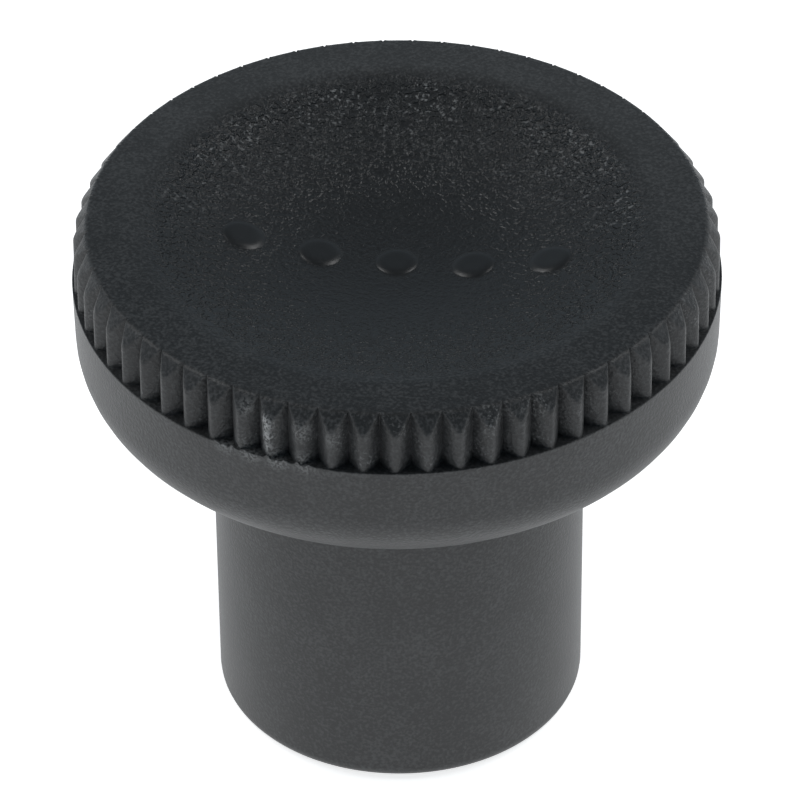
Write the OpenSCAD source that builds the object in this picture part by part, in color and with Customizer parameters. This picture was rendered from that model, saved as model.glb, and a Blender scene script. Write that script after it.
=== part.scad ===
// Knurled knob with a threaded insert.
//
// The knob stands on the bottom face of its boss. The origin is the centre of that face, +Z runs up
// through the head, and the row of dots in the dish lies along X. All sizes are in millimetres.

/* [Head] */
// Diameter over the crests of the knurl
head_d = 30; // [26:0.5:44]
// Height of the head, from its underside to the rim
head_h = 9.15; // [7.6:0.05:14]
// How far the collar stands out past the crests
collar_step = 0.1; // [0.05:0.05:0.5]
// Draft of the collar's wall, in degrees
collar_draft = 1.5; // [0:0.5:3]
// Radius that turns the collar's wall in to the underside
collar_round = 3.5; // [1:0.1:4.5]

/* [Knurl] */
// Height of the knurled band, from the collar's ledge to the rim
knurl_h = 2.9; // [2:0.1:3.6]
// Number of teeth round the head
knurl_teeth = 64; // [40:1:72]
// Depth of the grooves between the teeth
knurl_depth = 0.7; // [0.3:0.05:1]
// Width of the flat land on each crest
knurl_land = 0.14; // [0.05:0.01:0.3]
// Turn of the first groove from the row of dots, in degrees
knurl_turn = -0.7; // [-2.8:0.1:2.8]
// Height of the chamfer across the top of the teeth
chamfer_h = 0.84; // [0.3:0.02:1.5]
// How far in the chamfer comes at the rim
chamfer_in = 0.62; // [0.3:0.02:1]

/* [Dish] */
// Diameter of the dish at the rim
dish_d = 23.6; // [18:0.1:24.5]
// Depth of the dish at its middle
dish_depth = 2.4; // [1:0.1:3.5]

/* [Dots] */
// Number of raised dots in the row
dot_count = 5; // [1:1:5]
// Diameter of a dot
dot_d = 2.08; // [1:0.02:2.6]
// Height of a dot over the dish
dot_h = 0.15; // [0.1:0.05:0.6]
// Distance from one dot to the next
dot_pitch = 3.58; // [2.8:0.02:4]

/* [Boss] */
// Diameter of the boss where it meets the head
boss_d = 17.56; // [16:0.1:22]
// Length of the boss, from its bottom face to the underside of the head
boss_h = 17.45; // [14:0.05:30]
// Draft of the boss, in degrees
boss_draft = 0.4; // [0:0.1:1]
// Radius of the rounded edge at the bottom of the boss
boss_edge = 0.7; // [0.3:0.1:1.5]

/* [Insert] */
// Diameter over the teeth of the insert
insert_d = 12; // [10:0.1:14.5]
// Brass left past the drill point at the closed end
insert_end = 0.6; // [0.3:0.1:2]
// Number of teeth that hold the insert against turning
insert_teeth = 36; // [24:1:40]
// Depth of those teeth
insert_tooth = 0.35; // [0.2:0.05:0.5]
// Width of the flat land on each of those teeth
insert_land = 0.3; // [0.1:0.05:0.4]
// Depth of the groove that holds the insert against pulling out
groove_depth = 0.8; // [0.6:0.1:1]
// Width of that groove
groove_w = 2.5; // [1:0.1:4]
// Height of the groove's lower wall over the bottom face
groove_z = 6; // [3:0.1:8]

/* [Thread] */
// Nominal diameter of the thread
thread_d = 8; // [5:1:9]
// Pitch of the thread
thread_pitch = 1.25; // [0.75:0.25:1.5]
// Depth of the tapped hole, from the bottom face to the start of the drill point
thread_depth = 12; // [9:0.5:15]
// How far the countersink at the mouth opens past the thread, on each side
countersink = 0.2; // [0.1:0.05:0.4]

/* [Hidden] */

$fn = 96;
// Reach of a cut past the face that it opens
cut = 1;
// Steps in a quarter of a round edge
round_steps = 12;
// Thread geometry: an internal ISO thread's crests are this many pitches inside its nominal size
crest_share = 1.0825;
// Angle of the drill point at the end of the hole
drill_point = 118;

// Levels up the knob
rim_z = boss_h + head_h;
ledge_z = rim_z - knurl_h;
round_z = boss_h + collar_round;

// Radii of the head
crest_r = head_d / 2;
rim_r = crest_r - chamfer_in;
collar_r = crest_r + collar_step;
wall_r = collar_r - (ledge_z - round_z) * tan(collar_draft);

// The sphere that hollows the dish
dish_r = (pow(dish_d / 2, 2) + pow(dish_depth, 2)) / (2 * dish_depth);
dish_z = rim_z - dish_depth + dish_r;

// The sphere that a dot is the cap of
dot_r = (pow(dot_d / 2, 2) + pow(dot_h, 2)) / (2 * dot_h);

// Radii of the boss
boss_r = boss_d / 2;
foot_r = boss_r - boss_h * tan(boss_draft);

// The hole in the insert
hole_r = (thread_d - crest_share * thread_pitch) / 2;
mouth_r = thread_d / 2 + countersink;
mouth_h = mouth_r - hole_r;
point_h = hole_r / tan(drill_point / 2);
insert_h = thread_depth + point_h + insert_end;

// Points along an arc, from angle a to angle b
function arc(x, y, r, a, b) =
    [for (i = [0:round_steps]) let (t = a + (b - a) * i / round_steps) [x + r * cos(t), y + r * sin(t)]];

// A point on a circle
function on_circle(r, angle) = [r * cos(angle), r * sin(angle)];

// Outline of a knurl: a groove, then a crest with its land, once for each tooth
function knurl_outline(r, depth, teeth, land, turn) =
    let (pitch = 360 / teeth, half_land = asin(land / 2 / r))
    [for (i = [0:teeth - 1]) let (groove = turn + i * pitch, crest = groove + pitch / 2)
        each [on_circle(r - depth, groove), on_circle(r, crest - half_land), on_circle(r, crest + half_land)]];

// The knurled band, from the ledge to the rim. The cone of the chamfer trims the tops of the teeth, and
// is carried on to twice its size so that it clears the crests.
module knurl_band() {
    intersection() {
        translate([0, 0, ledge_z]) linear_extrude(knurl_h)
            polygon(knurl_outline(crest_r, knurl_depth, knurl_teeth, knurl_land, knurl_turn));
        rotate_extrude() polygon([
            [0, ledge_z - cut],
            [crest_r + chamfer_in, ledge_z - cut],
            [crest_r + chamfer_in, rim_z - 2 * chamfer_h],
            [rim_r, rim_z],
            [0, rim_z],
        ]);
    }
}

// Collar and boss, turned about the axis from one outline
module collar_and_boss() {
    rotate_extrude() polygon(concat(
        [[0, 0]],
        arc(foot_r - boss_edge, boss_edge, boss_edge, -90, 0),
        [[boss_r, boss_h]],
        arc(wall_r - collar_round, round_z, collar_round, -90, 0),
        [[collar_r, ledge_z], [0, ledge_z]]
    ));
}

// The row of dots, each the cap of a sphere that stands square to the dish
module dots() {
    for (i = [0:dot_count - 1]) {
        x = (i - (dot_count - 1) / 2) * dot_pitch;
        translate([0, 0, dish_z]) rotate([0, -asin(x / dish_r), 0])
            translate([0, 0, -(dish_r + dot_r - dot_h)]) sphere(dot_r);
    }
}

// Outside of the insert, which is also the cavity that the moulding leaves for it
module insert_outside() {
    difference() {
        linear_extrude(insert_h)
            polygon(knurl_outline(insert_d / 2, insert_tooth, insert_teeth, insert_land, 0));
        translate([0, 0, groove_z]) difference() {
            cylinder(h = groove_w, d = insert_d + cut);
            translate([0, 0, -cut]) cylinder(h = groove_w + 2 * cut, d = insert_d - 2 * groove_depth);
        }
    }
}

// The moulding: head, knurl, collar, boss, dish and dots in one
module knob_body() {
    color("#2c2e31") difference() {
        union() {
            difference() {
                union() {
                    knurl_band();
                    collar_and_boss();
                }
                translate([0, 0, dish_z]) sphere(dish_r);
            }
            dots();
        }
        insert_outside();
    }
}

// The brass bush, with its blind tapped hole at the thread's inner diameter
module threaded_insert() {
    color("#b8924a") difference() {
        insert_outside();
        rotate_extrude() polygon([
            [0, -cut],
            [mouth_r + cut, -cut],
            [hole_r, mouth_h],
            [hole_r, thread_depth],
            [0, thread_depth + point_h],
        ]);
    }
}

knob_body();
threaded_insert();
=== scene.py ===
"""Looks of a knurled knob: a black polyamide moulding round a tapped brass insert.

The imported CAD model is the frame. Each CAD node is replaced by a finer mesh of the same size, which the
classes below work out from the frame's own box and from the few sizes that they hold.
"""

import logging
import math
from dataclasses import dataclass, field
from enum import Enum

import bmesh
import bpy
from mathutils import Matrix, Vector, noise


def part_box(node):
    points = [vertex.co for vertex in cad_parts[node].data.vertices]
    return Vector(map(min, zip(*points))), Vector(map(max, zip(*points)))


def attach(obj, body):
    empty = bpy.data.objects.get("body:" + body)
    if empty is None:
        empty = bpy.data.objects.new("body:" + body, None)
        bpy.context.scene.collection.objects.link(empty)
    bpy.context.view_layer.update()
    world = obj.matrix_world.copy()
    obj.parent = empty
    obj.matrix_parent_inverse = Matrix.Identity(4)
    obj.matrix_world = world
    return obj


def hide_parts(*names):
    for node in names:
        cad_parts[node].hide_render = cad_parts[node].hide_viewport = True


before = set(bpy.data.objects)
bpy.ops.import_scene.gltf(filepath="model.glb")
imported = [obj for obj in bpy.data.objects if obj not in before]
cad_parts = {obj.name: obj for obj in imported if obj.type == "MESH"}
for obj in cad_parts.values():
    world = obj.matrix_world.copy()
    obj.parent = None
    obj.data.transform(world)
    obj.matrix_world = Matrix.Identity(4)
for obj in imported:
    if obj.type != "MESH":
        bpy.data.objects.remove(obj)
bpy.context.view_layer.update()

MM = 0.001
# Points closer than this are welded, in metres
WELD = 0.001 * MM
BODY = "root"
DOT_ATTRIBUTE = "dot"

log = logging.getLogger("knob")

Point = tuple[float, float]
Outline = list[Point]


# ---- Shared geometry ----


def spread(first: float, last: float, steps: int) -> list[float]:
    """Evenly spaced values.

    Args:
        first: The first value.
        last: The last value.
        steps: How many equal steps lie between them.

    Returns:
        steps + 1 values, both ends among them.
    """
    return [first + (last - first) * i / steps for i in range(steps + 1)]


def arc(centre: Point, radius: float, start: float, end: float, steps: int) -> Outline:
    """Points along a circular arc.

    Args:
        centre: The arc's centre.
        radius: Its radius.
        start: The angle of its first point, in degrees.
        end: The angle of its last point, in degrees.
        steps: How many chords it has.

    Returns:
        The points, both ends among them.
    """
    turn = [math.radians(a) for a in spread(start, end, steps)]
    return [(centre[0] + radius * math.cos(a), centre[1] + radius * math.sin(a)) for a in turn]


def lean(draft: float) -> float:
    """How far a wall leans for each unit of its height, from its draft in degrees."""
    return math.tan(math.radians(draft))


def eased(corners: Outline, reach: list[float], steps: int) -> Outline:
    """Rounds the corners of an outline, always with the same number of points.

    Args:
        corners: The outline's corners, its two ends among them.
        reach: How far from each inner corner the rounding starts.
        steps: How many chords each rounding has.

    Returns:
        The outline, with a small curve in place of each inner corner.
    """
    # The most of a side that one rounding takes, and the least length that a side counts as
    most, least = 0.45, 1e-9
    out = [corners[0]]
    for before, here, after, far in zip(corners, corners[1:], corners[2:], reach):
        into = (before[0] - here[0], before[1] - here[1])
        away = (after[0] - here[0], after[1] - here[1])
        share_in, share_out = (min(far / max(math.hypot(*side), least), most) for side in (into, away))
        a = (here[0] + into[0] * share_in, here[1] + into[1] * share_in)
        b = (here[0] + away[0] * share_out, here[1] + away[1] * share_out)
        for s in spread(0.0, 1.0, steps):
            u, v, w = (1 - s) ** 2, 2 * s * (1 - s), s * s
            out.append((u * a[0] + v * here[0] + w * b[0], u * a[1] + v * here[1] + w * b[1]))
    return out + [corners[-1]]


def stand(name: str, data: bpy.types.ID) -> bpy.types.Object:
    """Adds an object to the scene, at the origin.

    Args:
        name: Its name.
        data: Its mesh, light or camera.

    Returns:
        The object.
    """
    piece = bpy.data.objects.new(name, data)
    bpy.context.scene.collection.objects.link(piece)
    return piece


@dataclass
class Row:
    """One row of points across a sector, each with its share of the way across."""

    shares: list[float]
    verts: list[bmesh.types.BMVert]


@dataclass
class SectorMesh:
    """A slice of a turned piece, from one angle to the next, which is repeated round the axis.

    Attributes:
        angle: How far round the axis the slice reaches, in radians.
        start: The angle at which it starts, in radians.
        bm: The mesh being built, in metres.
        last: The row added last.
    """

    angle: float
    start: float
    bm: bmesh.types.BMesh = field(default_factory=bmesh.new)
    last: Row | None = None

    # Shares of the way across that differ by less count as the same
    SAME_SHARE = 1e-9

    def add(self, shares: list[float], points: Outline) -> None:
        """Adds a row and joins it to the last one.

        Args:
            shares: Each point's share of the way across the slice, from 0 to 1.
            points: Each point's radius and height, in millimetres.
        """
        verts = []
        for share, (r, z) in zip(shares, points):
            a = self.start + self.angle * share
            verts.append(self.bm.verts.new((r * math.cos(a) * MM, r * math.sin(a) * MM, z * MM)))
        row = Row(shares, verts)
        if self.last:
            self._join(self.last, row)
        self.last = row

    def add_ring(self, columns: int, point: Point) -> None:
        """Adds an even row of that many columns, all at one radius and height, in millimetres."""
        shares = spread(0.0, 1.0, columns)
        self.add(shares, [point] * len(shares))

    def add_pole(self, z: float) -> None:
        """Adds the point on the axis at height z, in millimetres."""
        self.add([0.5], [(0.0, z)])

    def _join(self, a: Row, b: Row) -> None:
        """Fills the strip between two rows, which may differ in how many points they have.

        Args:
            a: The first row.
            b: The next row.
        """
        i, j = 0, 0
        while i < len(a.verts) - 1 or j < len(b.verts) - 1:
            next_a = a.shares[i + 1] if i < len(a.verts) - 1 else math.inf
            next_b = b.shares[j + 1] if j < len(b.verts) - 1 else math.inf
            if abs(next_a - next_b) < self.SAME_SHARE:
                self.bm.faces.new((a.verts[i], b.verts[j], b.verts[j + 1], a.verts[i + 1]))
                i, j = i + 1, j + 1
            elif next_a < next_b:
                self.bm.faces.new((a.verts[i], b.verts[j], a.verts[i + 1]))
                i += 1
            else:
                self.bm.faces.new((a.verts[i], b.verts[j], b.verts[j + 1]))
                j += 1

    def finish(self, name: str) -> bpy.types.Object:
        """Turns the slice into an object in the scene.

        Args:
            name: The object's name.

        Returns:
            The object.
        """
        mesh = bpy.data.meshes.new(name)
        self.bm.to_mesh(mesh)
        self.bm.free()
        return stand(name, mesh)


# ---- Node trees ----


@dataclass(frozen=True)
class Wire:
    """A value on its way from one node to the next, which takes part in sums as a number does.

    Attributes:
        tree: The node tree.
        out: The output that gives the value.
    """

    tree: bpy.types.NodeTree
    out: bpy.types.NodeSocket

    # The colour sockets of a Mix node, whose names are also those of its other sockets
    FIRST, SECOND, MIXED = 6, 7, 2

    def math(self, operation: str, *others: "Wire | float") -> "Wire":
        """Adds a Math node that takes this value first."""
        inputs = dict(enumerate((self, *others)))
        return add_node(self.tree, "ShaderNodeMath", {"operation": operation, **inputs})

    def __add__(self, other: "Wire | float") -> "Wire":
        """This value plus another."""
        return self.math("ADD", other)

    def __sub__(self, other: "Wire | float") -> "Wire":
        """This value less another."""
        return self.math("SUBTRACT", other)

    def __rsub__(self, other: float) -> "Wire":
        """A number less this value."""
        return add_node(self.tree, "ShaderNodeMath", {"operation": "SUBTRACT", 0: other, 1: self})

    def __mul__(self, other: "Wire | float") -> "Wire":
        """This value times another."""
        return self.math("MULTIPLY", other)

    def __truediv__(self, other: "Wire | float") -> "Wire":
        """This value over another."""
        return self.math("DIVIDE", other)

    def __pow__(self, other: "Wire | float") -> "Wire":
        """This value to a power."""
        return self.math("POWER", other)

    def at_least(self, other: "Wire | float") -> "Wire":
        """The greater of this value and another."""
        return self.math("MAXIMUM", other)

    def at_most(self, other: "Wire | float") -> "Wire":
        """The lesser of this value and another."""
        return self.math("MINIMUM", other)

    def above(self, other: "Wire | float") -> "Wire":
        """1 where this value is greater than another, and 0 elsewhere."""
        return self.math("GREATER_THAN", other)

    def parts(self) -> list["Wire"]:
        """The X, Y and Z of a vector."""
        first = add_node(self.tree, "ShaderNodeSeparateXYZ", {0: self})
        return [Wire(self.tree, out) for out in first.out.node.outputs]

    def ramp(self, low: float, high: float) -> "Wire":
        """Adds a smooth step.

        Args:
            low: The value at which the step starts.
            high: The value at which it ends, which may be the smaller one.

        Returns:
            A value from 0 at low to 1 at high.
        """
        return add_node(self.tree, "ShaderNodeMapRange", {
            "interpolation_type": "SMOOTHSTEP", "From Min": low, "From Max": high, "Value": self})

    def mix(self, first: object, second: object) -> "Wire":
        """Adds a colour mix, in which this value is the share of the second colour.

        Args:
            first: A colour, or a wire.
            second: A colour, or a wire.

        Returns:
            The mixed colour.
        """
        return add_node(self.tree, "ShaderNodeMix", {
            "data_type": "RGBA", 0: self, self.FIRST: first, self.SECOND: second}, self.MIXED)


def feed(node: bpy.types.Node, key: int | str, value: object) -> None:
    """Feeds a node's input.

    Args:
        node: The node.
        key: The input's name or number.
        value: The wire that feeds it, or the constant that it is set to.
    """
    if isinstance(value, Wire):
        value.tree.links.new(value.out, node.inputs[key])
    else:
        node.inputs[key].default_value = value


def add_node(tree: bpy.types.NodeTree, kind: str, values: dict | None = None,
             output: int | str = 0) -> Wire:
    """Adds a node to a tree, with its settings and links.

    Args:
        tree: The node tree.
        kind: The node's type name.
        values: Attributes of the node by name, and constants or wires by the input that each is for.
        output: The output that is meant, by name or number.

    Returns:
        That output.
    """
    node = tree.nodes.new(kind)
    for key, value in (values or {}).items():
        if isinstance(key, str) and hasattr(node, key) and key not in node.inputs:
            setattr(node, key, value)
        else:
            feed(node, key, value)
    return Wire(tree, node.outputs[output])


class PieceTree:
    """A geometry node tree that makes a piece and dresses it.

    Each kind states its name, its inputs with their defaults, and its nodes.
    """

    NAME = ""
    INPUTS: dict[str, int | float] = {}

    def __init__(self) -> None:
        """Makes the tree: its inputs, its kind's nodes, smooth shading, the finish and the output."""
        self.tree = bpy.data.node_groups.new(self.NAME, "GeometryNodeTree")
        sockets = self.tree.interface
        sockets.new_socket("Geometry", in_out="INPUT", socket_type="NodeSocketGeometry")
        for label, value in self.INPUTS.items():
            kind = "NodeSocketInt" if isinstance(value, int) else "NodeSocketFloat"
            sockets.new_socket(label, in_out="INPUT", socket_type=kind).default_value = value
        sockets.new_socket("Material", in_out="INPUT", socket_type="NodeSocketMaterial")
        sockets.new_socket("Geometry", in_out="OUTPUT", socket_type="NodeSocketGeometry")
        given = self.tree.nodes.new("NodeGroupInput").outputs
        self.given = {out.name: Wire(self.tree, out) for out in given}
        smooth = self.add("SetShadeSmooth", {0: self.fill()})
        dressed = self.add("SetMaterial", {"Geometry": smooth, "Material": self.given["Material"]})
        feed(self.tree.nodes.new("NodeGroupOutput"), 0, dressed)

    def fill(self) -> Wire:
        """Adds the nodes that make the piece, and gives its geometry."""
        raise NotImplementedError

    def add(self, kind: str, values: dict | None = None) -> Wire:
        """Adds a geometry node of that kind and gives its first output."""
        return add_node(self.tree, "GeometryNode" + kind, values)

    def vector(self, values: dict[str, Wire]) -> Wire:
        """A vector from the parts that are given by name."""
        return add_node(self.tree, "ShaderNodeCombineXYZ", values)

    def run(self, piece: bpy.types.Object, values: dict[str, object]) -> bpy.types.Mesh:
        """Runs the tree on an object and keeps only the plain mesh that it makes.

        Args:
            piece: The object that it starts from, which is removed.
            values: The tree's inputs by name.

        Returns:
            The finished mesh.
        """
        modifier = piece.modifiers.new(self.NAME, "NODES")
        modifier.node_group = self.tree
        for item in self.tree.interface.items_tree:
            if item.item_type == "SOCKET" and item.in_out == "INPUT" and item.name in values:
                modifier[item.identifier] = values[item.name]
        piece.update_tag()
        bpy.context.view_layer.update()
        graph = bpy.context.evaluated_depsgraph_get()
        mesh = bpy.data.meshes.new_from_object(piece.evaluated_get(graph))
        piece.modifiers.remove(modifier)
        bpy.data.objects.remove(piece)
        return mesh


class RepeatTree(PieceTree):
    """The node tree that repeats a slice round the axis and welds the copies into one turned piece."""

    NAME = "repeat_round_axis"
    INPUTS = {"Copies": 64, "Weld Distance": WELD}

    def fill(self) -> Wire:
        """Adds the nodes that repeat the slice.

        Returns:
            The welded piece.
        """
        given = self.given
        turn = self.add("InputIndex") * math.tau / given["Copies"]
        copies = self.add("InstanceOnPoints", {
            "Points": self.add("Points", {"Count": given["Copies"]}), "Instance": given["Geometry"],
            "Rotation": self.vector({"Z": turn})})
        real = self.add("RealizeInstances", {0: copies})
        return self.add("MergeByDistance", {"Geometry": real, "Distance": given["Weld Distance"]})


class DotTree(PieceTree):
    """The node tree that raises a straight row of low round dots on a face, along X, and marks them."""

    NAME = "raise_dots"
    INPUTS = {
        "Dot Count": 5, "Dot Radius": 1.0 * MM, "Dot Height": 0.2 * MM, "Dot Pitch": 3.0 * MM,
        "Dot Fullness": 2.0, "Dot Foot": 0.02 * MM, "Dots Above": 0.0,
    }
    # How steeply the mark of a dot starts at its edge
    EDGE_GAIN = 6.0

    def fill(self) -> Wire:
        """Adds the nodes that raise the dots and store their mark.

        Returns:
            The dotted piece.
        """
        given = self.given
        x, y, z = self.add("InputPosition").parts()
        high = z.above(given["Dots Above"])
        inside = self._inside(x, y)
        lift = (inside * given["Dot Height"]).math("SMOOTH_MAX", 0.0, given["Dot Foot"])
        on_dot = (inside * self.EDGE_GAIN).at_most(1.0).at_least(0.0) * high
        marked = self.add("StoreNamedAttribute", {
            "Name": DOT_ATTRIBUTE, "Geometry": given["Geometry"], "Value": on_dot})
        dotted = self.add("SetPosition", {
            "Geometry": marked, "Selection": high, "Offset": self.vector({"Z": lift})})
        return self.add("RealizeInstances", {0: dotted})

    def _inside(self, x: Wire, y: Wire) -> Wire:
        """Works out each point's place on its nearest dot.

        Args:
            x: The point's place along the row.
            y: Its place across the row.

        Returns:
            The dot's shape, from 1 in its middle to 0 at its edge and less outside it.
        """
        given = self.given
        last = (given["Dot Count"] - 1.0) / 2.0
        nearest = (x / given["Dot Pitch"]).math("ROUND").at_least(last * -1.0).at_most(last)
        across = x - nearest * given["Dot Pitch"]
        share = (across ** 2.0 + y ** 2.0) / given["Dot Radius"] ** 2.0
        return 1.0 - share ** (given["Dot Fullness"] / 2.0)


class ThreadTree(PieceTree):
    """The node tree that wraps a flat grid into a tapped hole's wall, with its helix and countersink."""

    NAME = "tapped_wall"
    INPUTS = {
        "Crest Radius": 3.3 * MM, "Root Radius": 4.0 * MM, "Pitch": 1.25 * MM, "Depth": 12.0 * MM,
        "Mouth Radius": 4.2 * MM, "Columns": 108, "Rows": 150,
    }
    # Shares of the pitch: half the flat at the crest, and the reach of a flank
    HALF_CREST = 1 / 8
    FLANK = 5 / 16

    def fill(self) -> Wire:
        """Adds the nodes that make the grid, wrap it and weld its seam.

        Returns:
            The wall of the hole.
        """
        given = self.given
        grid = self.add("MeshGrid", {
            "Size X": 1.0, "Size Y": 1.0,
            "Vertices X": given["Columns"] + 1.0, "Vertices Y": given["Rows"] + 1.0})
        x, y, _ = self.add("InputPosition").parts()
        lap, height = x + 0.5, (y + 0.5) * given["Depth"]
        radius, angle = self._radius(lap, height), lap * math.tau
        wrapped = self.vector({
            "X": radius * angle.math("COSINE"), "Y": radius * angle.math("SINE"), "Z": height})
        wall = self.add("SetPosition", {"Geometry": grid, "Position": wrapped})
        inward = self.add("FlipFaces", {0: wall})
        welded = self.add("MergeByDistance", {"Geometry": inward, "Distance": WELD})
        return self.add("RealizeInstances", {0: welded})

    def _radius(self, lap: Wire, height: Wire) -> Wire:
        """Works out the wall's radius from the thread's form.

        Args:
            lap: The share of a lap round the axis.
            height: The height over the mouth.

        Returns:
            The radius: the thread's, or the countersink's where that is wider.
        """
        given, crest = self.given, self.given["Crest Radius"]
        phase = height / given["Pitch"] - lap
        off_crest = (phase.math("FRACT") - 0.5).math("ABSOLUTE") - self.HALF_CREST
        form = (off_crest / self.FLANK).at_least(0.0).at_most(1.0)
        run_out = ((given["Depth"] - height) / given["Pitch"]).at_least(0.0).at_most(1.0)
        thread = crest + form * run_out * (given["Root Radius"] - crest)
        return thread.at_least(given["Mouth Radius"] - height)


def weld(name: str, meshes: list[bpy.types.Mesh], material: bpy.types.Material) -> bpy.types.Object:
    """Joins meshes that share their edges into one closed, smooth piece.

    Args:
        name: The piece's name.
        meshes: The meshes, which are removed.
        material: The piece's finish.

    Returns:
        The piece, at the origin.
    """
    bm = bmesh.new()
    for mesh in meshes:
        bm.from_mesh(mesh)
        bpy.data.meshes.remove(mesh)
    bmesh.ops.remove_doubles(bm, verts=bm.verts, dist=WELD)
    for face in bm.faces:
        face.smooth = True
        face.material_index = 0
    edges = sum(1 for e in bm.edges if len(e.link_faces) != 2)
    mesh = bpy.data.meshes.new(name)
    bm.to_mesh(mesh)
    triangles = sum(len(f.verts) - 2 for f in bm.faces)
    bm.free()
    mesh.materials.append(material)
    log.info("%s: %d triangles, %d open edges", name, triangles, edges)
    return stand(name, mesh)


# ---- The brass insert ----


@dataclass
class Insert:
    """The tapped brass bush: toothed and grooved outside, so that the plastic holds it.

    Attributes:
        height: From the bottom face to its closed end.
        radius: Over its teeth.
        teeth: How many teeth hold it against turning.
        tooth: Their depth.
        land: Width of the flat land on each tooth.
        groove_depth: Depth of the groove that holds it against pulling out, under the teeth's tips.
        groove_w: Width of that groove.
        groove_z: Height of its lower wall over the bottom face.
        thread_d: Nominal diameter of the thread.
        pitch: Its pitch.
        depth: Depth of the tapped hole.
        countersink: How far the countersink opens past the thread.
        edge: Edge break of the teeth at the bottom face.
    """

    height: float
    radius: float = 6.0
    teeth: int = 36
    tooth: float = 0.35
    land: float = 0.3
    groove_depth: float = 0.8
    groove_w: float = 2.5
    groove_z: float = 6.0
    thread_d: float = 8.0
    pitch: float = 1.25
    depth: float = 12.0
    countersink: float = 0.2
    edge: float = 0.03

    # ISO threads: the hole is this many pitches smaller than the nominal size
    CREST_SHARE = 1.0825
    DRILL_POINT = math.radians(118)
    # How finely it is divided
    COLUMNS_PER_TOOTH = 16
    THREAD_COLUMNS_PER_TOOTH = 4
    ROWS_PER_PITCH = 16

    @property
    def hole_r(self) -> float:
        """Radius of the thread's crests."""
        return (self.thread_d - self.CREST_SHARE * self.pitch) / 2

    @property
    def mouth_r(self) -> float:
        """Radius of the countersink at the bottom face."""
        return self.thread_d / 2 + self.countersink

    @property
    def shares(self) -> list[float]:
        """Where the points lie across a tooth, from one groove to the next."""
        return spread(0.0, 1.0, self.COLUMNS_PER_TOOTH)

    def sector(self) -> SectorMesh:
        """A slice one tooth wide."""
        return SectorMesh(math.tau / self.teeth, 0.0)

    def tip(self, share: float) -> float:
        """Works out how far out the toothed outside lies.

        Args:
            share: The share of the way across a tooth.

        Returns:
            The radius there.
        """
        half_pitch = math.pi * self.radius / self.teeth
        from_crest = abs(2 * share - 1) * half_pitch
        flank = half_pitch - self.land / 2
        return self.radius - self.tooth * min(max((from_crest - self.land / 2) / flank, 0.0), 1.0)

    def side(self, share: float) -> Outline:
        """Works out the outline of the outside.

        Args:
            share: The share of the way across a tooth.

        Returns:
            The corners, from the closed end down.
        """
        r = self.tip(share)
        low = self.radius - self.groove_depth
        top = self.groove_z + self.groove_w
        foot = self.groove_z
        return [(r, self.height), (r, top), (low, top), (low, foot), (r, foot), (r, self.edge)]

    def build(self, material: bpy.types.Material, repeat: RepeatTree,
              thread: ThreadTree) -> bpy.types.Object:
        """Builds the insert.

        Args:
            material: Its finish.
            repeat: The tree that repeats a tooth.
            thread: The tree that makes the tapped wall.

        Returns:
            The finished piece.
        """
        outside = self.sector()
        outside.add_pole(self.height)
        for outlines in zip(*(self.side(s) for s in self.shares)):
            outside.add(self.shares, list(outlines))
        outside.add(self.shares, [(self.tip(s) - self.edge, 0.0) for s in self.shares])
        outside.add_ring(self.THREAD_COLUMNS_PER_TOOTH, (self.mouth_r, 0.0))
        end = self.sector()
        end.add_ring(self.THREAD_COLUMNS_PER_TOOTH, (self.hole_r, self.depth))
        end.add_pole(self.depth + self.hole_r / math.tan(self.DRILL_POINT / 2))
        meshes = [
            repeat.run(part.finish("insert_slice"), {"Copies": self.teeth, "Material": material})
            for part in (outside, end)
        ]
        holder = SectorMesh(0.0, 0.0).finish("thread_holder")
        meshes.append(thread.run(holder, {
            "Crest Radius": self.hole_r * MM, "Root Radius": self.thread_d / 2 * MM,
            "Pitch": self.pitch * MM, "Depth": self.depth * MM, "Mouth Radius": self.mouth_r * MM,
            "Columns": self.teeth * self.THREAD_COLUMNS_PER_TOOTH,
            "Rows": round(self.depth / self.pitch * self.ROWS_PER_PITCH), "Material": material}))
        return weld("brass_insert", meshes, material)


# ---- The moulding ----


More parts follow.
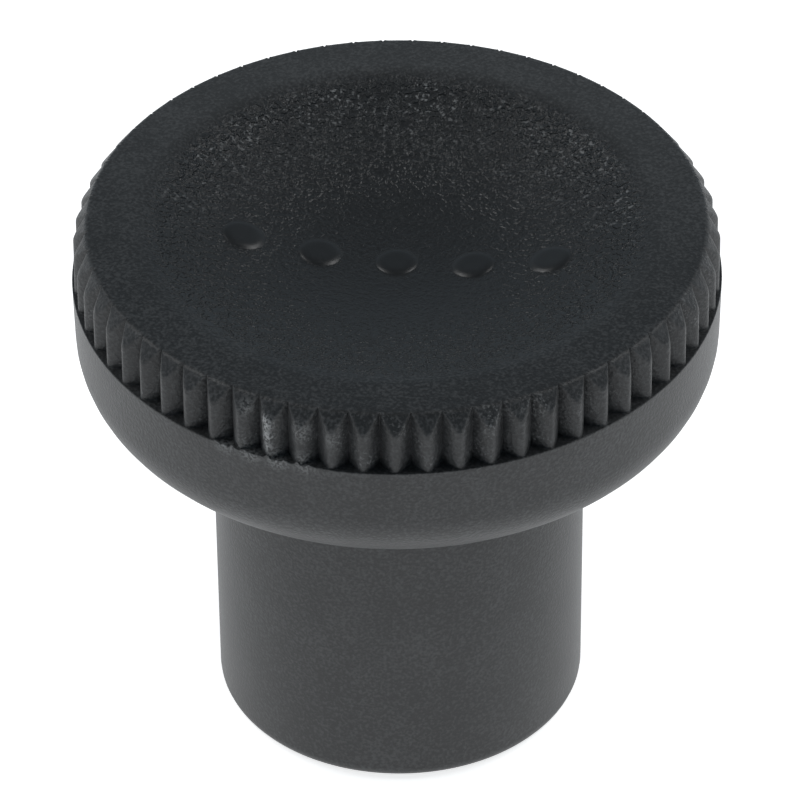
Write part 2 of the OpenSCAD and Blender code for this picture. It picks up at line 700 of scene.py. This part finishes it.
@dataclass
class Knurl:
    """The V knurl round the head.

    Attributes:
        crest_r: Radius over the crests.
        teeth: How many teeth there are.
        depth: Depth of the grooves.
        turn: Turn of the first groove from the row of dots, in degrees.
        height: From the ledge to the rim.
        chamfer_h: Height of the chamfer across the teeth's tops.
        chamfer_in: How far in it comes at the rim.
        softness: How rounded the crests are, from 0, sharp, to 1.
        least_break: Edge break left where a groove runs out through the rim.
        rounding: Reach of the rounding at the chamfer's two edges, at the foot of a tooth, and at the
            ledge's outer edge.
    """

    crest_r: float
    teeth: int = 64
    depth: float = 0.7
    turn: float = -0.7
    height: float = 2.9
    chamfer_h: float = 0.84
    chamfer_in: float = 0.62
    softness: float = 0.4
    least_break: float = 0.04
    rounding: tuple[float, ...] = (0.16, 0.22, 0.04, 0.05)

    # Shares across half a tooth: close together at the groove's bottom and over the crest
    HALF = (0.0, 0.006, 0.06, 0.14, 0.22, 0.29, 0.35, 0.4, 0.44, 0.47)

    @property
    def shares(self) -> list[float]:
        """Where the points lie across a tooth, from one groove to the next."""
        return [*self.HALF, 0.5, *(1 - s for s in reversed(self.HALF))]

    @property
    def rim_r(self) -> float:
        """Radius at which the chamfer meets the rim."""
        return self.crest_r - self.chamfer_in

    def radius(self, share: float) -> float:
        """Works out how far out the teeth lie.

        Args:
            share: The share of the way across a tooth.

        Returns:
            The radius there.
        """
        off, soft = abs(2 * share - 1), self.softness
        fall = (math.hypot(off, soft) - soft) / (math.hypot(1, soft) - soft)
        return self.crest_r - self.depth * fall

    def corners(self, share: float, rim_z: float) -> Outline:
        """Works out the corners of a tooth's outline.

        Args:
            share: The share of the way across the tooth.
            rim_z: Height of the rim.

        Returns:
            The corners, from the rim down to the ledge.
        """
        r = self.radius(share)
        inner = min(self.rim_r, r - self.least_break)
        drop = max((r - self.rim_r) * self.chamfer_h / self.chamfer_in, self.least_break)
        return [(inner, rim_z), (r, rim_z - drop), (r, rim_z - self.height)]


@dataclass
class Moulding:
    """The black moulding: dished and dotted head, knurl, collar and boss in one.

    Attributes:
        height: From the bottom face to the rim.
        collar_r: Radius of the collar at the ledge.
        insert: The insert that it is moulded round.
        collar_step: How far the collar stands out past the crests.
        collar_draft: Draft of the collar's wall, in degrees.
        collar_round: Radius that turns the collar's wall in to the underside.
        head_h: Height of the head, from its underside to the rim.
        dish_d: Diameter of the dish at the rim.
        dish_depth: Its depth at the middle.
        dish_soft: How far the rounding of the dish's rim reaches, each way.
        dots: How many dots there are, an odd number.
        dot_d: Diameter of a dot.
        dot_h: Its height.
        dot_pitch: Distance from one dot to the next.
        dot_fullness: How full a dot's shape is: 2 for a plain cap, more for a flatter top.
        boss_d: Diameter of the boss where it meets the head.
        boss_draft: Its draft, in degrees.
        boss_edge: Radius of the rounded edge at its bottom.
        root: Reach of the fillet between head and boss.
        burr_from: The angle at which the burr on the ledge's edge starts, in degrees from X.
        burr_to: The angle at which it ends.
        burr_h: Its height.
        burr_reach: How far from the edge it reaches.
    """

    height: float
    collar_r: float
    insert: Insert
    collar_step: float = 0.1
    collar_draft: float = 1.5
    collar_round: float = 3.5
    head_h: float = 9.15
    dish_d: float = 23.6
    dish_depth: float = 2.4
    dish_soft: float = 0.6
    dots: int = 5
    dot_d: float = 2.08
    dot_h: float = 0.15
    dot_pitch: float = 3.58
    dot_fullness: float = 5.5
    boss_d: float = 17.56
    boss_draft: float = 0.4
    boss_edge: float = 0.7
    root: float = 0.3
    burr_from: float = -116.0
    burr_to: float = -93.0
    burr_h: float = 0.4
    burr_reach: float = 0.2

    # How quickly the burr changes along the edge, its least height and how fast its ends rise
    BURR_RATE, BURR_FLOOR, BURR_ENDS = 0.9, 0.2, 0.5
    # Cuts in an edge by a dot, steps of the rows by a dot and elsewhere, and how far round a dot is fine
    DOT_CUTS, FINE_STEP, COARSE_STEP, DOT_MARGIN = 2, 0.14, 0.4, 0.15
    # Chords in the collar's rounding, the dish's rim, the boss's bottom edge and every other rounding
    ROUND_STEPS, RIM_STEPS, FOOT_STEPS, EDGE_STEPS = 12, 8, 6, 4
    # How many times its reach a rounding needs on each side, and how many the fillet has
    EASE_SPAN, ROOT_SPAN = 2.3, 2.0
    # Columns across one tooth's slice, and the radii that the dish's first two kinds reach to
    MIDDLE, INNER, DISH, COLLAR, BOSS = 1, 3, 6, 6, 3
    MIDDLE_TO, INNER_TO = 1.0, 2.5
    # Width of the ring of the bottom face that is cut to the insert's columns
    MOUTH_WALL = 0.5

    def __post_init__(self) -> None:
        """Sets the knurl from the collar."""
        self.knurl = Knurl(self.collar_r - self.collar_step)

    @property
    def ledge_z(self) -> float:
        """Height of the ledge under the knurl."""
        return self.height - self.knurl.height

    @property
    def boss_z(self) -> float:
        """Height at which the boss meets the head."""
        return self.height - self.head_h

    @property
    def last_dot(self) -> int:
        """How many dots stand to each side of the middle one."""
        return (self.dots - 1) // 2

    @property
    def dish_r(self) -> float:
        """Radius of the sphere that hollows the dish."""
        return ((self.dish_d / 2) ** 2 + self.dish_depth ** 2) / (2 * self.dish_depth)

    def dish_z(self, r: float) -> float:
        """Height of the dish at radius r."""
        return self.height - self.dish_depth + self.dish_r - math.sqrt(self.dish_r ** 2 - r ** 2)

    def _dish_radii(self) -> list[float]:
        """Spaces the dish's rows: close together where a dot stands, and wider apart elsewhere.

        Returns:
            Their radii.
        """
        reach = self.dot_d / 2 + self.DOT_MARGIN
        radii, r = [], self.FINE_STEP
        while r < self.dish_d / 2 - self.EASE_SPAN * self.dish_soft:
            radii.append(r)
            near = any(abs(r - k * self.dot_pitch) < reach for k in range(self.last_dot + 1))
            r += self.FINE_STEP if near else self.COARSE_STEP
        return radii

    def _dish(self, slice_: SectorMesh) -> None:
        """Adds the dish and its soft rim.

        Args:
            slice_: The slice that is being built.
        """
        slice_.add_pole(self.dish_z(0.0))
        for r in self._dish_radii():
            outer = self.INNER if r < self.INNER_TO else self.DISH
            slice_.add_ring(self.MIDDLE if r < self.MIDDLE_TO else outer, (r, self.dish_z(r)))
        rim, span = self.dish_d / 2, self.EASE_SPAN * self.dish_soft
        corners = [(rim - span, self.dish_z(rim - span)), (rim, self.height), (rim + span, self.height)]
        for point in eased(corners, [self.dish_soft], self.RIM_STEPS):
            slice_.add_ring(self.DISH, point)

    def _knurled(self, slice_: SectorMesh) -> None:
        """Adds the rim, the teeth, the ledge and the collar's top edge.

        Args:
            slice_: The slice that is being built.
        """
        down = self.EASE_SPAN * self.knurl.rounding[-1]
        start = (self.knurl.rim_r - self.knurl.chamfer_in, self.height)
        wall = (self.collar_r - lean(self.collar_draft) * down, self.ledge_z - down)
        outlines = []
        for share in self.knurl.shares:
            corners = self.knurl.corners(share, self.height)
            outline = [start, *corners, (self.collar_r, self.ledge_z), wall]
            outlines.append(eased(outline, list(self.knurl.rounding), self.EDGE_STEPS))
        for points in zip(*outlines):
            slice_.add(self.knurl.shares, list(points))

    def _collar(self, slice_: SectorMesh) -> None:
        """Adds the collar's wall and its rounding to the underside.

        Args:
            slice_: The slice that is being built.
        """
        round_z = self.boss_z + self.collar_round
        wall_r = self.collar_r - (self.ledge_z - round_z) * lean(self.collar_draft)
        centre = (wall_r - self.collar_round, round_z)
        for point in arc(centre, self.collar_round, 0, -90, self.ROUND_STEPS):
            slice_.add_ring(self.COLLAR, point)

    def _boss(self, slice_: SectorMesh) -> None:
        """Adds the boss and the bottom face, as far as the insert.

        Args:
            slice_: The slice that is being built.
        """
        boss_r, span, draft = self.boss_d / 2, self.ROOT_SPAN * self.root, lean(self.boss_draft)
        underside = (boss_r + span, self.boss_z)
        below = (boss_r - span * draft, self.boss_z - span)
        outline = eased([underside, (boss_r, self.boss_z), below], [self.root], self.EDGE_STEPS)
        centre = (boss_r - self.boss_z * draft - self.boss_edge, self.boss_edge)
        outline += arc(centre, self.boss_edge, 0, -90, self.FOOT_STEPS)
        for point in outline:
            slice_.add_ring(self.BOSS, point)
        columns = self.insert.teeth * self.insert.COLUMNS_PER_TOOTH // self.knurl.teeth
        shift = (-slice_.start % (slice_.angle / columns)) / slice_.angle
        mouth = [share + shift for share in spread(0.0, 1.0, columns)]
        slice_.add(mouth, [(self.insert.radius + self.MOUTH_WALL, 0.0)] * len(mouth))

    def _cavity(self) -> SectorMesh:
        """Makes the cavity that the insert fills.

        Returns:
            A slice of it, one of the insert's teeth wide.
        """
        slice_ = self.insert.sector()
        shares = self.insert.shares
        slice_.add(shares, [(self.insert.radius + self.MOUTH_WALL, 0.0)] * len(shares))
        slice_.add(shares, [(self.insert.tip(s), 0.0) for s in shares])
        for points in zip(*(reversed(self.insert.side(s)) for s in shares)):
            slice_.add(shares, list(points))
        slice_.add_pole(self.insert.height)
        return slice_

    def _refine(self, mesh: bpy.types.Mesh) -> None:
        """Divides the dish's faces round each dot, so that the dots' edges come out crisp.

        Args:
            mesh: The moulding's outside.
        """
        bm = bmesh.new()
        bm.from_mesh(mesh)
        reach, low, last = (self.dot_d / 2 + self.DOT_MARGIN) * MM, self.ledge_z * MM, self.last_dot
        quad = 4

        def near(vert: bmesh.types.BMVert) -> bool:
            """Tells the points round the dots from the rest.

            Args:
                vert: The point.

            Returns:
                Whether it is close to a dot.
            """
            x, y, z = vert.co
            step = max(-last, min(last, round(x / self.dot_pitch / MM)))
            return z > low and math.hypot(x - step * self.dot_pitch * MM, y) < reach

        chosen = {v for v in bm.verts if near(v)}
        edges = [e for e in bm.edges if e.verts[0] in chosen and e.verts[1] in chosen]
        bmesh.ops.subdivide_edges(bm, edges=edges, cuts=self.DOT_CUTS, use_grid_fill=True)
        bmesh.ops.triangulate(bm, faces=[f for f in bm.faces if len(f.verts) > quad])
        bm.to_mesh(mesh)
        bm.free()

    def _burr(self, mesh: bpy.types.Mesh) -> None:
        """Raises the ragged burr along part of the ledge's outer edge.

        Args:
            mesh: The moulding's outside.
        """
        first, last = self.burr_from, self.burr_to
        for vert in mesh.vertices:
            x, y, z = vert.co / MM
            turn = math.degrees(math.atan2(y, x))
            off = math.hypot(math.hypot(x, y) - self.collar_r, z - self.ledge_z)
            if first < turn < last and off < self.burr_reach:
                ends = math.sin(math.pi * (turn - first) / (last - first)) ** self.BURR_ENDS
                ragged = noise.noise(Vector((turn * self.BURR_RATE, 0.0, 0.0)))
                ragged = max(0.0, self.BURR_FLOOR + ragged)
                vert.co.z += self.burr_h * MM * ends * ragged * (1 - off / self.burr_reach)

    def build(self, material: bpy.types.Material, repeat: RepeatTree, dots: DotTree) -> bpy.types.Object:
        """Builds the moulding.

        Args:
            material: Its finish.
            repeat: The tree that repeats a slice.
            dots: The tree that raises the dots.

        Returns:
            The finished piece.
        """
        slice_ = SectorMesh(math.tau / self.knurl.teeth, math.radians(self.knurl.turn))
        for add in (self._dish, self._knurled, self._collar, self._boss):
            add(slice_)
        turned = repeat.run(slice_.finish("head_slice"), {
            "Copies": self.knurl.teeth, "Material": material})
        self._refine(turned)
        self._burr(turned)
        outside = dots.run(stand("head", turned), {
            "Dot Count": self.dots, "Dot Radius": self.dot_d / 2 * MM, "Dot Height": self.dot_h * MM,
            "Dot Pitch": self.dot_pitch * MM, "Dot Fullness": self.dot_fullness,
            "Dots Above": self.ledge_z * MM, "Material": material})
        inside = repeat.run(self._cavity().finish("cavity_slice"), {
            "Copies": self.insert.teeth, "Material": material})
        return weld("knob_moulding", [outside, inside], material)


# ---- Finishes ----


def linear(code: str) -> tuple[float, float, float, float]:
    """Turns an sRGB hex colour into a linear one.

    Args:
        code: The hex colour.

    Returns:
        The linear colour, with full alpha.
    """
    toe, slope, offset, power = 0.04045, 12.92, 0.055, 2.4
    parts = [int(code[i:i + 2], 16) / 255 for i in (1, 3, 5)]
    return (*(c / slope if c <= toe else ((c + offset) / (1 + offset)) ** power for c in parts), 1.0)


def per_mm(size: float) -> float:
    """The scale at which a pattern's grains are that many millimetres wide."""
    return 1 / (size * MM)


def grains(place: Wire, width: float, detail: float = 1.0) -> Wire:
    """A noise, close to one half, whose grains are that many millimetres wide."""
    return add_node(place.tree, "ShaderNodeTexNoise", {
        "Scale": per_mm(width), "Detail": detail, "Vector": place})


def relief(height: Wire) -> Wire:
    """The normal of a face with fine relief, whose height is in metres."""
    return add_node(height.tree, "ShaderNodeBump", {"Distance": 1.0, "Height": height})


class Finish:
    """A finish. Each kind states its name and what it feeds to the shader."""

    NAME = ""

    def looks(self, place: Wire) -> dict[str, object]:
        """The constants and wires of the shader by input, from the place on the object."""
        raise NotImplementedError

    def build(self) -> bpy.types.Material:
        """Builds the material.

        Returns:
            The material.
        """
        material = bpy.data.materials.new(self.NAME)
        material.use_nodes = True
        tree = material.node_tree
        place = add_node(tree, "ShaderNodeTexCoord", output="Object")
        for label, value in self.looks(place).items():
            feed(tree.nodes["Principled BSDF"], label, value)
        return material


@dataclass(frozen=True)
class MouldedPolyamide(Finish):
    """Black glass-filled polyamide, moulded in a spark-eroded tool.

    It gives the eye a deep neutral black with a soft sheen. The grain of the tool breaks the sheen up,
    most of all in the dish, where the face wrinkled as it cooled. Widths, depths, radii, places and
    heights are in millimetres.

    Attributes:
        colour: The plastic.
        bloom: The lighter tone of its glass-rich spots.
        wear_and_painted_light: The pale tone of scuffs and wear specks, which also paints glints in the
            back half of the dish and a pale sheen at the back of the rim.
        roughness: Of the plain faces.
        dish_roughness: Of the dish and its dots, which the tool leaves smoother.
        grain: Width of the tool's grain.
        wrinkle: Width of the dish's wrinkles.
        mottle: Width of the cloudy changes of tone.
        mottle_share: Their part in the tone, the rest of which follows the grain.
        grain_depth: Depth of the grain.
        wrinkle_depth: Depth of the wrinkles.
        foot_grain: The share of the grain's depth at the foot of the boss.
        foot_z: The height at which the grain starts to be deeper.
        full_z: The height at which it has its full depth.
        dish_radius: How far out the wrinkles reach.
        calm_radius: Radius inside which they are shallowest.
        calm: Their share of the depth there.
        painted_glints: How pale the painted glints are in the back half of the dish, from 0 to 1. They
            are pale specks on the wrinkles that stand in for the soft boxes' highlights.
        glint_width: Width of such a painted glint.
        glints_from: The place along Y at which the painted glints start to be pale.
        glints_full: The place at which they are palest.
        dish_even: How far the dish lacks the bloom, from 0 to 1.
        dish_floor: The height over which the wrinkled face lies.
        scuffs: The middle and the reach of each scuff, and how pale it is. Over 1, its middle is even.
        teeth_from: Radius from which the teeth carry fine pale specks of wear.
        patch: Width of the patches that the specks come in.
        fleck: Width of a speck.
        speck_share: How pale the specks are, from 0 to 1.
        painted_back_sheen: How pale the painted sheen is at the back of the rim, from 0 to 1. It stands
            in for the light that the back of the rim catches.
        painted_back_sheen_from: The place along Y at which the painted sheen starts.
        painted_back_sheen_full: The place at which it is palest.
        grain_gloss: How much the roughness changes with the grain.
        pale_mark_rough: How much rougher a pale place is, whether it is wear or painted light.
        sheen: How much the fine grain lights up edge on.
        gloss: The specular level, below that of smooth plastic because of the grain.
    """

    colour: str = "#1f2021"
    bloom: str = "#3c3d3e"
    wear_and_painted_light: str = "#929393"
    roughness: float = 0.46
    dish_roughness: float = 0.34
    grain: float = 0.15
    wrinkle: float = 0.26
    mottle: float = 2.5
    mottle_share: float = 0.2
    grain_depth: float = 0.036
    wrinkle_depth: float = 0.12
    foot_grain: float = 0.45
    foot_z: float = 3.0
    full_z: float = 16.0
    dish_radius: float = 11.9
    calm_radius: float = 3.5
    calm: float = 0.12
    painted_glints: float = 0.65
    glint_width: float = 0.19
    glints_from: float = -3.0
    glints_full: float = 5.0
    dish_even: float = 0.85
    dish_floor: float = 24.0
    scuffs: tuple[tuple[float, ...], ...] = (
        (-4.0, -14.3, 25.55, 0.65, 1.3),
        (-3.95, -14.35, 24.9, 0.6, 1.3),
        (-3.9, -14.4, 24.3, 0.5, 0.8),
        (-4.9, -14.1, 26.1, 0.8, 0.4),
        (-2.3, -14.6, 25.5, 0.8, 0.4),
        (-0.9, -14.9, 25.3, 0.7, 0.25),
        (-5.9, -13.9, 23.8, 0.9, 0.4),
        (-4.7, -14.3, 23.8, 0.9, 0.5),
        (-3.4, -14.7, 23.8, 0.9, 0.5),
        (-2.1, -14.9, 23.8, 0.9, 0.4),
    )
    teeth_from: float = 14.2
    patch: float = 1.6
    fleck: float = 0.13
    speck_share: float = 0.3
    painted_back_sheen: float = 0.07
    painted_back_sheen_from: float = -10.0
    painted_back_sheen_full: float = 13.0
    grain_gloss: float = 0.25
    pale_mark_rough: float = 0.3
    sheen: float = 0.05
    gloss: float = 0.4

    NAME = "moulded_polyamide"
    # The values of its noise from and to which each kind of mark comes in
    BLOOM_BAND, WRINKLE_BAND, SCUFF_BAND = (0.42, 0.68), (0.44, 0.68), (0.42, 0.56)
    SPECK_BAND, PATCH_BAND = (0.52, 0.66), (0.48, 0.7)
    # The noise bands of the painted glints in the back half of the dish
    RUB_BAND, RUBBED_PATCH_BAND = (0.57, 0.7), (0.36, 0.56)
    # How soon a mark starts inside the dish's edge, over its floor, on the teeth, and by the rim
    DISH_FADE, FLOOR_FADE, TEETH_FADE, RIM_FADE = 1.0, 0.1, 0.2, 0.5
    # How detailed its noise is where it isn't plain
    GRAIN_DETAIL, MOTTLE_DETAIL, FLECK_DETAIL = 3.0, 4.0, 2.0

    def looks(self, place: Wire) -> dict[str, object]:
        """What it feeds to the shader.

        Args:
            place: The place on the object.

        Returns:
            The constants and wires by input.
        """
        x, y, z = place.parts()
        radius = (x ** 2.0 + y ** 2.0).math("SQRT")
        dot = add_node(place.tree, "ShaderNodeAttribute", {"attribute_name": DOT_ATTRIBUTE}, "Fac")
        off_dot = 1.0 - dot
        in_dish = radius.ramp(self.dish_radius * MM, (self.dish_radius - self.DISH_FADE) * MM)
        in_dish *= z.ramp((self.dish_floor - self.FLOOR_FADE) * MM, self.dish_floor * MM)
        outward = radius.ramp(self.calm_radius * MM, self.dish_radius * MM) * (1 - self.calm) + self.calm
        wrinkled = outward * (in_dish * off_dot)
        # The share of the pale tone: real scuffs and wear specks, plus painted glints in the dish and a
        # painted sheen at the back of the rim
        wear_and_painted_light = self._wear_and_painted_light_share(place, radius, wrinkled)
        grain = grains(place, self.grain, self.GRAIN_DETAIL)
        mottle = grains(place, self.mottle, self.MOTTLE_DETAIL)
        cloud = mottle * self.mottle_share + grain * (1 - self.mottle_share)
        patchy = cloud.ramp(*self.BLOOM_BAND) * ((1.0 - in_dish * self.dish_even) * off_dot)
        tone = patchy.mix(linear(self.colour), linear(self.bloom))
        level = in_dish * (self.dish_roughness - self.roughness) + self.roughness
        crisp = z.ramp(self.foot_z * MM, self.full_z * MM) * (1 - self.foot_grain) + self.foot_grain
        low = grain * (self.grain_depth * MM) * (crisp * off_dot)
        wrinkles = grains(place, self.wrinkle).ramp(*self.WRINKLE_BAND)
        return {
            "Base Color": wear_and_painted_light.mix(tone, linear(self.wear_and_painted_light)),
            "Roughness": (grain - 0.5) * self.grain_gloss + level + wear_and_painted_light * self.pale_mark_rough,
            "Sheen Weight": self.sheen,
            "Specular IOR Level": self.gloss,
            "Normal": relief(low + wrinkles * (self.wrinkle_depth * MM) * wrinkled),
        }

    def _wear_and_painted_light_share(self, place: Wire, radius: Wire, wrinkled: Wire) -> Wire:
        """Works out each place's share of the pale tone, from 0 to 1: scuffs and wear specks, painted
        glints in the dish and a painted sheen at the back of the rim.

        Args:
            place: The place on the object.
            radius: Its distance from the axis.
            wrinkled: How wrinkled the place is, from 0 to 1.

        Returns:
            The share of the pale tone, from wear and from painted light.
        """
        _, y, z = place.parts()
        above = z.above(self.dish_floor * MM)
        flecks = grains(place, self.fleck, self.FLECK_DETAIL)
        patch = grains(place, self.patch)
        scuff: Wire | float = 0.0
        for *middle, reach, share in self.scuffs:
            away = add_node(place.tree, "ShaderNodeVectorMath", {
                "operation": "DISTANCE", 0: place, 1: [c * MM for c in middle]}, "Value")
            scuff = (away.ramp(reach * MM, 0.0) * share).at_least(scuff)
        scuff *= flecks.ramp(*self.SCUFF_BAND)
        on_teeth = radius.ramp(self.teeth_from * MM, (self.teeth_from + self.TEETH_FADE) * MM) * above
        specks = flecks.ramp(*self.SPECK_BAND) * patch.ramp(*self.PATCH_BAND) * on_teeth
        # Painted glints: pale specks on the wrinkles in the back half of the dish, which stand in for
        # highlights
        back = y.ramp(self.glints_from * MM, self.glints_full * MM)
        painted_glints = wrinkled ** 2.0 * back * patch.ramp(*self.RUBBED_PATCH_BAND)
        painted_glints *= grains(place, self.glint_width).ramp(*self.RUB_BAND)
        # Painted sheen: the back of the rim is painted paler, as if the light fell there more
        on_rim = above * radius.ramp(
            (self.dish_radius - self.RIM_FADE) * MM, (self.dish_radius + self.RIM_FADE) * MM)
        painted_back_sheen = on_rim * self.painted_back_sheen * y.ramp(self.painted_back_sheen_from * MM, self.painted_back_sheen_full * MM)
        return scuff.at_least(painted_back_sheen).at_least(specks * self.speck_share).at_least(painted_glints * self.painted_glints)


@dataclass(frozen=True)
class TurnedBrass(Finish):
    """Free-cutting brass, turned and tapped.

    It gives the eye a warm yellow with fine facing rings, and a duller tone in spots.

    Attributes:
        colour: The fresh metal.
        dull: Its duller spots.
        roughness: Of the turned faces.
        uneven: How much the roughness changes from spot to spot.
        ring: Distance from one tool mark to the next, in millimetres. The real ones are finer, so
            they are drawn coarse enough to show.
        ring_depth: Depth of the tool marks, in millimetres.
        waver: How far the tool marks stray from true circles.
        stain: Width of the duller spots, in millimetres.
    """

    colour: str = "#d8b169"
    dull: str = "#a98348"
    roughness: float = 0.28
    uneven: float = 0.2
    ring: float = 0.12
    ring_depth: float = 0.004
    waver: float = 0.4
    stain: float = 0.9

    NAME = "turned_brass"
    # The values of the noise from and to which a duller spot comes in, and the detail of both patterns
    STAIN_BAND = (0.45, 0.7)
    STAIN_DETAIL, RING_DETAIL = 5.0, 2.0

    def looks(self, place: Wire) -> dict[str, object]:
        """What it feeds to the shader: bright metal with tool marks and duller spots.

        Args:
            place: The place on the object.

        Returns:
            The constants and wires by input.
        """
        rings = add_node(place.tree, "ShaderNodeTexWave", {
            "wave_type": "RINGS", "rings_direction": "Z", "Scale": per_mm(self.ring) / math.tau,
            "Distortion": self.waver, "Detail": self.RING_DETAIL, "Vector": place})
        stain = grains(place, self.stain, self.STAIN_DETAIL)
        return {
            "Base Color": stain.ramp(*self.STAIN_BAND).mix(linear(self.colour), linear(self.dull)),
            "Metallic": 1.0,
            "Roughness": stain * self.uneven + (self.roughness - self.uneven / 2),
            "Normal": relief(rings * (self.ring_depth * MM)),
        }


@dataclass(frozen=True)
class OpalSheet(Finish):
    """Opal acrylic over a light box, as a product table has it.

    It gives the eye a plain white floor with hardly a shadow, which falls off to grey further out.

    Attributes:
        colour: The acrylic.
        roughness: Of its matt face.
        glow: How bright the middle is by itself.
        far_glow: How bright it is by itself further out.
        pool: Radius of the bright middle, in millimetres.
        fade: Radius at which it has fallen off, in millimetres.
    """

    colour: str = "#f2f2f2"
    roughness: float = 0.9
    glow: float = 0.85
    far_glow: float = 0.2
    pool: float = 150.0
    fade: float = 500.0

    NAME = "opal_acrylic"

    def looks(self, place: Wire) -> dict[str, object]:
        """What it feeds to the shader: a matt face with a glow that fades outwards.

        Args:
            place: The place on the object.

        Returns:
            The constants and wires by input.
        """
        away = add_node(place.tree, "ShaderNodeVectorMath", {"operation": "LENGTH", 0: place}, "Value")
        share = away.ramp(self.fade * MM, self.pool * MM)
        return {
            "Base Color": linear(self.colour),
            "Roughness": self.roughness,
            "Emission Color": linear(self.colour),
            "Emission Strength": share * (self.glow - self.far_glow) + self.far_glow,
        }


# ---- The studio ----


@dataclass(frozen=True)
class SoftBox:
    """A flat soft light that faces the knob.

    Attributes:
        name: Its name.
        azimuth: Its direction from the front, towards the camera's right, in degrees.
        elevation: Its height over the floor, in degrees.
        width: Its width, in millimetres.
        length: Its length, in millimetres.
        radiance: How bright its face is, where the white floor is 1.
        distance: From the knob, in millimetres.
    """

    name: str
    azimuth: float
    elevation: float
    width: float
    length: float
    radiance: float
    distance: float = 700.0

    # Watts that give a square metre of an area light a radiance of 1
    WATTS = 4.0

    def build(self, aim: Vector, front: float) -> None:
        """Adds the light.

        Args:
            aim: The point that it faces.
            front: The azimuth of the front, in degrees.
        """
        light = bpy.data.lights.new(self.name, "AREA")
        light.shape = "RECTANGLE"
        light.size, light.size_y = self.width * MM, self.length * MM
        light.energy = self.radiance * self.WATTS * light.size * light.size_y
        lamp = stand(self.name, light)
        away = direction(front + self.azimuth, self.elevation)
        lamp.location = aim + away * self.distance * MM
        lamp.rotation_euler = away.to_track_quat("Z", "Y").to_euler()


def direction(azimuth: float, elevation: float) -> Vector:
    """The direction at an azimuth from -Y towards +X and at an elevation, both in degrees."""
    a, e = math.radians(azimuth), math.radians(elevation)
    return Vector((math.sin(a) * math.cos(e), -math.cos(a) * math.cos(e), math.sin(e)))


@dataclass(frozen=True)
class Studio:
    """The camera, the lights and the floor.

    Attributes:
        azimuth: The camera's direction from -Y towards +X, in degrees.
        elevation: The camera's height over the floor, in degrees.
        distance: From the camera to its aim, in millimetres.
        lens: Its focal length, in millimetres.
        sensor: Width of its sensor, in millimetres.
        aim_z: Height of its aim, in millimetres.
        aim_right: How far its aim lies to the right of the axis, in millimetres.
        roll: Its roll, in radians.
        tint: The tint of the room, a cool grey.
        walls: How bright the room is near the floor, where the white floor is 1.
        ceiling: How bright it is overhead.
        wall_top: The sine of the elevation at which the ceiling starts.
        floor: Half the floor's side, in millimetres.
        boxes: The soft boxes.
    """

    azimuth: float = 8.3
    elevation: float = 38.194
    distance: float = 400.0
    lens: float = 382.82
    sensor: float = 36.0
    aim_z: float = 16.084
    aim_right: float = 0.0847
    roll: float = -0.009521
    tint: str = "#c8dcea"
    walls: float = 0.4
    ceiling: float = 0.1
    wall_top: float = 0.85
    floor: float = 1500.0
    boxes: tuple[SoftBox, ...] = (
        SoftBox("box_left", -103.0, 50.0, 480.0, 260.0, 3.3),
        SoftBox("box_right", 103.0, 50.0, 480.0, 260.0, 3.3),
    )

    def build(self) -> None:
        """Adds the studio to the scene."""
        scene = bpy.context.scene
        scene.view_settings.view_transform = "Standard"
        scene.world = self._room()
        aim = Vector((0.0, 0.0, self.aim_z * MM))
        for box in self.boxes:
            box.build(aim, self.azimuth)
        self._floor()
        self._camera(aim)

    def _room(self) -> bpy.types.World:
        """Makes the room: pale near the floor and dark overhead.

        Returns:
            The room.
        """
        world = bpy.data.worlds.new("grey_room")
        world.use_nodes = True
        tree = world.node_tree
        *_, rise = add_node(tree, "ShaderNodeTexCoord", output="Generated").parts()
        tint = linear(self.tint)[:3]
        walls, ceiling = (
            (*(c / max(tint) * level for c in tint), 1.0) for level in (self.walls, self.ceiling))
        feed(tree.nodes["Background"], "Color", rise.ramp(0.0, self.wall_top).mix(walls, ceiling))
        return world

    def _floor(self) -> None:
        """Adds the floor."""
        side = self.floor * MM
        mesh = bpy.data.meshes.new("floor")
        corners = [(x * side, y * side, 0.0) for x, y in ((-1, -1), (1, -1), (1, 1), (-1, 1))]
        mesh.from_pydata(corners, [], [(0, 1, 2, 3)])
        mesh.materials.append(OpalSheet().build())
        stand("floor", mesh)

    def _camera(self, middle: Vector) -> None:
        """Adds the camera.

        Args:
            middle: The point that it faces, but for its shift to the right.
        """
        camera = bpy.data.cameras.new("camera")
        camera.lens, camera.sensor_width = self.lens, self.sensor
        camera.clip_start = MM
        back = direction(self.azimuth, self.elevation)
        level = direction(self.azimuth + 90, 0.0)
        rise = back.cross(level)
        right = level * math.cos(self.roll) + rise * math.sin(self.roll)
        up = rise * math.cos(self.roll) - level * math.sin(self.roll)
        place = middle + level * self.aim_right * MM + back * self.distance * MM
        holder = stand("camera", camera)
        turned = Matrix((right, up, back)).transposed().to_4x4()
        holder.matrix_world = Matrix.Translation(place) @ turned
        bpy.context.scene.camera = holder


# ---- The knob ----


class Node(Enum):
    """The CAD nodes, each with the name of its finish slot, which the script does not use."""

    MOULDING = ("knob_body", "moulded_plastic")
    INSERT = ("threaded_insert", "insert_brass")

    def take(self, piece: bpy.types.Object) -> None:
        """Puts a finished piece in the node's place.

        Args:
            piece: The piece.
        """
        node, slot = self.value
        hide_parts(node)
        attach(piece, BODY)
        log.info("%s stands for %s", piece.name, node)


def main() -> None:
    """Builds the knob and the studio."""
    logging.basicConfig(level=logging.INFO, format="%(name)s: %(message)s")
    body_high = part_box(Node.MOULDING.value[0])[1] / MM
    bush_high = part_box(Node.INSERT.value[0])[1] / MM
    repeat = RepeatTree()
    insert = Insert(bush_high.z)
    Node.INSERT.take(insert.build(TurnedBrass().build(), repeat, ThreadTree()))
    moulding = Moulding(body_high.z, body_high.x, insert)
    Node.MOULDING.take(moulding.build(MouldedPolyamide().build(), repeat, DotTree()))
    Studio().build()


if __name__ == "__main__":
    main()
